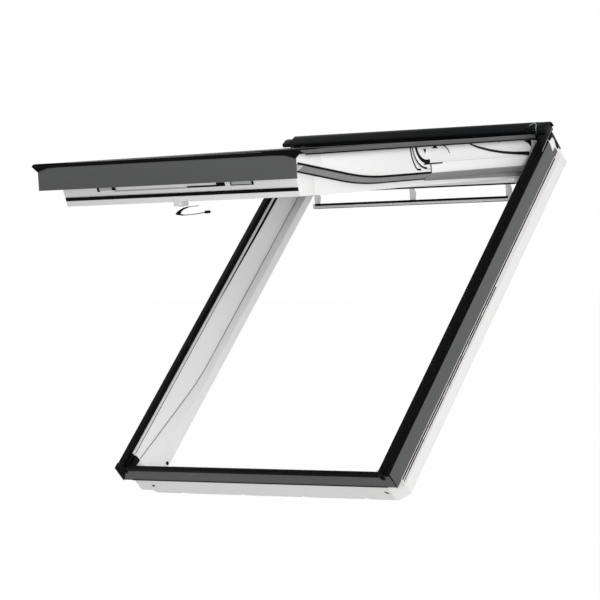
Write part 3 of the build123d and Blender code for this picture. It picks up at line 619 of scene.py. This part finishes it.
ledgeSteps = [48, 120, 200] + [265 + 16 * i for i in range(10)] + [520, 1000]
# Grey line along the ledge: a painted shadow in the corner between ledge and jamb
ledgeShadowLook = {"axis": "x", "body": "frame", "slot": "black_rubber", "finish": "greyRubber",
             "span": (354.2, 355.2),
             "points": stroke([(y, slopedHeight(y, ledge) + 1) for y in ledgeSteps], 2.6)}
makePair("ledgeLine", ledgeShadowLook)
jambPlugLook = {"axis": "x", "body": "frame", "slot": "black_rubber", "span": (-332.4, -329.6), "edge": 0.3,
                "points": arcPoints((89, -87), 4.4, 0, 330, 11)}
makeSingle("jambPlug", jambPlugLook)
# Two thin dark lines along the outer side, below the cladding's edge
sideDarkLinesLook = {
    "axis": "y", "body": "frame", "slot": "black_rubber", "span": (26, 1040),
    "parts": [
        {"points": box(389.4, 390.4, -48.4, -44.6)},
        {"points": box(389.2, 390, -55.4, -53), "span": (26, 620)},
    ],
}
makePair("sideHem", sideDarkLinesLook)
# White line at the side cladding's lower edge: a painted highlight on that edge
sideHighlightLook = {"axis": "y", "body": "frame", "slot": "white_plastic", "span": (24, 1044), "edge": 0.3,
            "points": box(389.6, 390.4, -43.7, -42.3)}
makePair("sideTrim", sideHighlightLook)
markLook = {
    "axis": "y", "body": "frame", "slot": "black_rubber", "span": (1.4, 3),
    "parts": [
        {"points": [(343, -62.6), (352, -64), (354, -69), (348, -67.4)]},
        {"points": [(-319, -64), (-310, -62.6), (-312, -67.4), (-317, -69)]},
    ],
}
makeSingle("railMarks", markLook)
print("strips and corners made")


# Sash: black edge on the front cladding, its tips, and the strips of the side

frontEdgeLook = {
    "axis": "y", "body": "sash", "slot": "black_rubber", "edge": 0.5, "span": (-10, -8), "steps": 3,
    "node": "sash_corner_cap",
    "parts": [
        {"points": [(0, 13.6), (0, 5), (300, 5), (330, 4), (352, -1), (361, -4), (366, 0), (378, 9.6),
                    (372, 14.6), (340, 15), (283, 14.6), (270, 13.6)], "span": (-9.4, -8.1)},
        {"axis": "x", "points": [(-10, 13), (-10, 15), (4, 15), (4, 13.4)], "span": (283, 366)},
        {"axis": "x", "points": [(4, 13.4), (96, 13.4), (4, 15)], "span": (345, 361)},
    ],
}
makePair("frontEdge", frontEdgeLook)

band = {"front": -15, "flat": -60, "fall": 0.164, "blend": 73.3, "leanDown": 12, "leanAcross": 22}
bandSteps = [36, 80, 140] + [200 + 15 * i for i in range(11)] + [420, 480, 539]


def makeBand(name, look):  # ruled strip under the leaning ledge of the stile
    line = [Vector((look["outer"], y, slopedHeight(y, band) + look["lift"])) * mm for y in bandSteps]
    piece = startPoint(name + "Right", line[0])
    drawChain(line)
    across = look["inner"] - look["outer"]
    lean = Vector((across, 0, across * band["leanDown"] / band["leanAcross"])) * mm
    bpy.ops.mesh.extrude_region_move(TRANSFORM_OT_translate={"value": lean})
    bpy.ops.mesh.select_all(action="SELECT")
    bpy.ops.mesh.extrude_region_move(TRANSFORM_OT_translate={"value": (0, 0, -look["thick"] * mm)})
    cleanNormals()
    bpy.ops.object.mode_set(mode="OBJECT")
    twin = mirrorTwin(piece, name + "Left")
    for side in (piece, twin):
        finishPiece(side, look)


# Band strip: a grey gasket whose grey also paints the shade on the downward-facing band; the black line runs
# along its lower edge
bandLook = {"body": "sash", "slot": "black_rubber", "finish": "greyRubber", "outer": 350, "inner": 329,
            "lift": -0.1, "thick": 0.8}
makeBand("bandStrip", bandLook)
bandLineLook = {"body": "sash", "slot": "black_rubber", "outer": 333.5, "inner": 329, "lift": -9.9,
                "thick": 0.6}
makeBand("bandLine", bandLineLook)

# Bead over the band, the folded strips of the cladding, and the line of the pivot's seat
beadLine = [(y, slopedHeight(y, band) + 2.6) for y in [13] + bandSteps]
seatLine = [(457, 8), (459.6, -6), (463.6, -20), (470, -32.8), (478, -43.6), (484, -48), (499, -49)]
sashSideLook = {
    "axis": "x", "body": "sash", "slot": "black_rubber", "node": "sash_side_seal",
    "parts": [
        {"points": stroke(beadLine, 4.8), "span": (350, 351.3)},
        {"points": box(44, 463, 2.4, 5.2), "span": (350, 360)},
        {"points": box(20, 463, 5.2, 8.4), "span": (350, 358.8)},
        {"points": stroke(seatLine, 4.2), "span": (348.4, 350.3)},
    ],
}
makePair("sashSideStrip", sashSideLook)
# Grey sheets on the stile's side: the long tapered one under the arm is painted shade where that side falls
# into shadow, and a thin one lies at the front end
shadeLook = {
    "axis": "x", "body": "sash", "slot": "black_rubber", "finish": "greyRubber",
    "parts": [
        {"points": [(541, -71), (985, -71), (985, -84), (541, -75.5)], "span": (327.9, 329.4)},
        {"points": box(11, 36, -16.8, -16.1), "span": (329, 350)},
    ],
}
makePair("sideSkin", shadeLook)


# Front of the bottom rail: gasket, lock bar and latches

railLean = {"start": 27, "top": -16.2, "run": 23, "drop": 70.4}


def railFace(z):  # how far up the slope the leaning face of the rail stands at a height
    return railLean["start"] + (railLean["top"] - z) * railLean["run"] / railLean["drop"]


def onRailFace(low, high, thick):
    return [(railFace(low), low), (railFace(high), high), (railFace(high) - thick, high),
            (railFace(low) - thick, low)]


gasketLook = {
    "axis": "x", "body": "sash", "slot": "black_rubber", "edge": 0.4, "standsFor": ["sash_front_seal"],
    "parts": [
        {"points": onRailFace(-74.2, -66.2, 1.8), "span": (-326, 326)},
        {"points": onRailFace(-56.4, -52.8, 1.4), "span": (29, 112)},
        {"points": onRailFace(-56, -48, 2.8), "span": (112, 134)},
        {"points": onRailFace(-56, -46, 2.8), "span": (-226, -221)},
        {"points": onRailFace(-54, -46, 2.8), "span": (-182, -174)},
        {"points": onRailFace(-56, -48, 2.2), "span": (150, 212)},
    ],
}
makeSingle("railGasket", gasketLook)
lockLook = {
    "axis": "x", "body": "sash", "slot": "zinc_steel", "edge": 0.3, "standsFor": ["lock_case"],
    "parts": [
        {"points": onRailFace(-57.6, -54.4, 0.9), "span": (-178, 28.5)},
        {"points": onRailFace(-54, -46, 2.6), "span": (-220, -183)},
        {"points": onRailFace(-54, -46, 3), "span": (154, 208)},
    ],
}
makeSingle("lockCase", lockLook)
print("sash strips and lock made")


# Screw heads with a sunk middle, one modelled and the rest copied

screwShape = {"sides": 20, "rim": 0.25, "slope": 0.3, "sink": 0.3, "edge": 0.25}


def makeScrews(name, look):
    bpy.ops.object.select_all(action="DESELECT")
    bpy.ops.mesh.primitive_cylinder_add(vertices=screwShape["sides"], radius=look["radius"] * mm,
                                        depth=look["depth"] * mm)
    first = bpy.context.object
    bpy.ops.object.mode_set(mode="EDIT")
    bpy.ops.mesh.select_mode(type="FACE")
    bpy.ops.mesh.select_all(action="DESELECT")
    bpy.ops.object.mode_set(mode="OBJECT")
    for face in first.data.polygons:
        face.select = face.normal.z > 0.9
    bpy.ops.object.mode_set(mode="EDIT")
    bpy.ops.mesh.inset(thickness=look["radius"] * screwShape["rim"] * mm)
    bpy.ops.mesh.inset(thickness=look["radius"] * screwShape["slope"] * mm,
                       depth=-look["depth"] * screwShape["sink"] * mm)
    bpy.ops.object.mode_set(mode="OBJECT")
    bevelCorners(first, screwShape["edge"])
    screws = [first]
    for place in look["places"][1:]:
        copied = bpy.data.objects.new(name + "Copy", first.data.copy())
        bpy.context.scene.collection.objects.link(copied)
        screws.append(copied)
    for screw, place in zip(screws, look["places"]):
        facing = Vector(look["facing"](place)).to_track_quat("Z", "Y").to_matrix().to_4x4()
        screw.data.transform(Matrix.Translation(Vector(place) * mm) @ facing)
    finishPiece(joinPieces(screws, name), look)


strikerScrews = {
    "radius": 3.4, "depth": 2, "body": "frame", "slot": "zinc_steel", "facing": lambda place: (0, 1, 0.113),
    "places": [(-34, 24.1, -32), (34, 24.1, -32)],
}
makeScrews("strikerScrews", strikerScrews)
hingeScrews = {
    "radius": 3.2, "depth": 1.6, "body": "frame", "slot": "zinc_steel",
    "facing": lambda place: (-1 if place[0] > 0 else 1, 0, 0),
    "places": [(side * 351.4, y, z) for side in (1, -1) for y, z in ((1021, -64), (1052, -64), (1052, -38))],
}
makeScrews("hingeScrews", hingeScrews)
print("screws made")


# Handle: a small base, a thin hooked lever and its dark tip

leverPlace = {"side": -6, "top": -97.1}
leverOutline = [(36, 0), (8, -1.4), (-2, -4), (-10, -7.4), (-17, -11), (-22, -15), (-24, -16.6), (-20, -19),
                (-4, -21), (24, -20), (60, -16.2), (60, -14.8), (24, -18.5), (-4, -19.3), (-17, -17.4),
                (-14, -12.2), (-7, -8), (10, -2.6), (36, -1.4)]
leverLook = {
    "axis": "y", "body": "handle", "slot": "white_plastic", "finish": "black_plastic", "edge": 0.3,
    "span": (66, 77), "standsFor": ["handle_lever"],
    "parts": [
        {"points": [(x + leverPlace["side"], z + leverPlace["top"]) for x, z in leverOutline]},
        {"axis": "z", "points": arcPoints((-15, 71), 5.6, 0, 345, 23), "span": (-97.6, -88.7)},
    ],
}
makeSingle("handleLever", leverLook)
tipLook = {"axis": "x", "body": "handle", "slot": "black_plastic", "span": (53, 61), "edge": 1.2,
           "points": box(65, 78, -115.4, -109), "standsFor": ["handle_tip"]}
makeSingle("handleTip", tipLook)
baseLook = {"axis": "z", "body": "sash", "slot": "white_plastic", "span": (-96.6, -86.6), "edge": 1,
            "points": box(-27, -4, 55, 87), "rounds": [(-27, 55, 6), (-4, 55, 6), (-4, 87, 6), (-27, 87, 6)],
            "standsFor": ["handle_base"]}
makeSingle("handleBase", baseLook)

# Control bar and its brackets
barLook = {
    "axis": "x", "body": "vent_flap", "slot": "bar_metal", "edge": 0.3, "steps": 5, "span": (-291, 291),
    "standsFor": ["control_bar"],
    "points": box(976, 994, -144.1, -131.1),
    "rounds": [(976, -144.1, 3), (994, -144.1, 5), (994, -131.1, 5), (976, -131.1, 3)],
}
makeSingle("controlBar", barLook)
barLineLook = {
    "axis": "x", "body": "vent_flap", "slot": "black_rubber",
    "parts": [
        {"points": box(975.2, 976.4, -136.6, -131), "span": (-284, 289)},
        {"points": box(975.4, 976.4, -144, -143), "span": (-284, 289)},
    ],
}
makeSingle("barLines", barLineLook)
flapLineLook = {"axis": "x", "body": "vent_flap", "slot": "black_rubber", "span": (-327, 327),
                "points": [(949.6, -98.4), (951, -102.4), (958, -102.4), (958, -100.4), (951, -97.6)]}
makeSingle("flapLine", flapLineLook)
bracketLook = {
    "axis": "x", "body": "vent_flap", "slot": "white_plastic", "edge": 0.8, "standsFor": ["bar_brackets"],
    "points": [(978, -101.1), (988, -101.1), (997, -115.6), (993, -131), (979, -131)],
    "parts": [{"span": (x - 4.4, x + 4.4)} for x in (-283, 7, 286)],
}
makeSingle("barBrackets", bracketLook)
print("handle and bar made")


# Marks and joints on the round end of the arm, the slim link, and the seal below the moulding

pivotCenter = (527, 14)
armMarksLook = {
    "axis": "x", "body": "arms", "slot": "black_rubber", "span": (347.8, 349.9),
    "parts": [
        {"points": [(513, -2.4), (525, -2.4), (520, -13.4)]},
        {"points": [(551, -2.4), (576, -2.4), (571, 1.4), (563, 3), (555, 1.4)]},
        {"points": stroke([(595, 4), (604, 2.4), (613, -3), (620, -9), (625, -16)], 2.6)},
        {"points": stroke(arcPoints(pivotCenter, 60.4, 190, 268, 18), 3.8)},
        {"points": stroke([(512, -36.9), (592, -36.9)], 3), "span": (349.5, 350.1)},
        {"points": stroke([(541.8, -36), (541.8, -58)], 3.4), "span": (349.5, 350.1)},
        {"points": arcPoints((846, 2), 1.7, 0, 315, 7)},
        {"points": [(960, 1), (998, 2.2), (998, -17), (984, -6)], "span": (349.5, 350.4)},
    ],
}
makePair("armMarks", armMarksLook)
linkTop = [(716, 3), (750, -4.6), (804, -13.4), (860, -20), (909, -23.4), (984, -25.4)]
linkLow = [(984, -34.4), (909, -29.8), (860, -25.8), (804, -18.8), (750, -9), (716, 0)]
linkLook = {"axis": "x", "body": "arms", "slot": "black_steel", "span": (349.7, 351.6), "edge": 0.4,
            "points": linkTop + linkLow, "node": "hinge_link"}
makePair("hingeLink", linkLook)
# Arm seal: a gasket whose grey also paints the shade on the downward-facing band below the moulding
wedgeLook = {
    "axis": "y", "body": "arms", "slot": "black_rubber", "finish": "greyRubber", "span": (541, 990),
    "node": "arm_seal",
    "parts": [
        {"points": [(333, -58.6), (350, -58.6), (350, -61), (333, -72)]},
        {"axis": "x", "points": box(541, 990, -60.4, -58.2), "span": (349.4, 350.5)},
    ],
}
makePair("armSeal", wedgeLook)
armStripLook = {
    "axis": "x", "body": "arms", "slot": "black_rubber", "span": (349.7, 360),
    "parts": [
        {"points": box(466, 994, 2.4, 5.2)},
        {"points": box(466, 994, 5.2, 8.4), "span": (349.7, 358.8)},
        {"points": stroke(arcPoints(pivotCenter, 45.5, 192, 286, 18), 8.8), "span": (347.7, 349.2)},
    ],
}
makePair("armStrip", armStripLook)
print("arm details made")


# Floor, background, light and camera

def makeStage():
    look = {"drop": 0.35, "size": 60, "color": grey(0.8), "roughness": 0.9, "haze": 0.975}
    bpy.ops.mesh.primitive_plane_add(size=look["size"], location=(0, 0, cadBox[0].z - look["drop"]))
    floor = bpy.context.object
    floor.name = "floor"
    finish = bpy.data.materials.new("floorPaper")
    finish.use_nodes = True
    tree = finish.node_tree
    shader = tree.nodes["Principled BSDF"]
    shader.inputs["Base Color"].default_value = look["color"]
    shader.inputs["Roughness"].default_value = look["roughness"]
    glow = addNode(tree, "Emission", {"Color": (1, 1, 1, 1), "Strength": 1.0})
    rays = addNode(tree, "LightPath")
    seen = mathNode(tree, "MAXIMUM", rays.outputs["Is Camera Ray"], rays.outputs["Is Transmission Ray"])
    share = mathNode(tree, "MULTIPLY", seen, look["haze"])
    both = addNode(tree, "MixShader")
    tree.links.new(share, both.inputs[0])
    tree.links.new(shader.outputs[0], both.inputs[1])
    tree.links.new(glow.outputs[0], both.inputs[2])
    tree.links.new(both.outputs[0], tree.nodes["Material Output"].inputs["Surface"])
    floor.data.materials.append(finish)


def makeWorld():
    look = {"light": 0.66, "mirror": 0.9}
    world = bpy.data.worlds.new("paleRoom")
    bpy.context.scene.world = world
    world.use_nodes = True
    tree = world.node_tree
    rays = addNode(tree, "LightPath")
    back = tree.nodes["Background"]
    back.inputs["Color"].default_value = (1, 1, 1, 1)
    seen = mathNode(tree, "MAXIMUM", rays.outputs["Is Camera Ray"], rays.outputs["Is Transmission Ray"])
    shown = mathNode(tree, "MULTIPLY", seen, 1 - look["light"])
    mirrored = mathNode(tree, "MULTIPLY", rays.outputs["Is Glossy Ray"], look["mirror"] - look["light"])
    strength = mathNode(tree, "ADD", mathNode(tree, "ADD", shown, mirrored), look["light"])
    tree.links.new(strength, back.inputs["Strength"])


lampLooks = {
    "keyLamp": {"place": (4.5, -1.5, 3.5), "target": (0, 0.2, 0.5), "size": 3.5, "power": 95},
    "frontLamp": {"place": (3.6, -3.6, -0.1), "target": (-0.3, 0.3, 0.5), "size": 2.5, "power": 95},
}


def addLamp(name, look):
    bpy.ops.object.light_add(type="AREA", location=look["place"])
    lamp = bpy.context.object
    lamp.name = name
    lamp.data.size = look["size"]
    lamp.data.energy = look["power"]
    facing = Vector(look["target"]) - Vector(look["place"])
    lamp.rotation_euler = facing.to_track_quat("-Z", "Y").to_euler()


def makeCamera():
    look = {"place": (3.8241, -5.2491, 0.5834), "right": (0.8157, 0.5775, -0.0333),
            "up": (0.0143, 0.0374, 0.9992), "forward": (-0.5783, 0.8155, -0.0223), "lens": 168.46,
            "sensor": 36}
    bpy.ops.object.camera_add(location=look["place"])
    camera = bpy.context.object
    columns = (look["right"], look["up"], [-value for value in look["forward"]])
    turn = Matrix([[column[row] for column in columns] for row in range(3)])
    camera.rotation_euler = turn.to_euler()
    camera.data.lens = look["lens"]
    camera.data.sensor_width = look["sensor"]
    bpy.context.scene.camera = camera


makeStage()
makeWorld()
for name, look in lampLooks.items():
    addLamp(name, look)
makeCamera()
bpy.context.scene.view_settings.view_transform = "Standard"
print("stage, light and camera set")
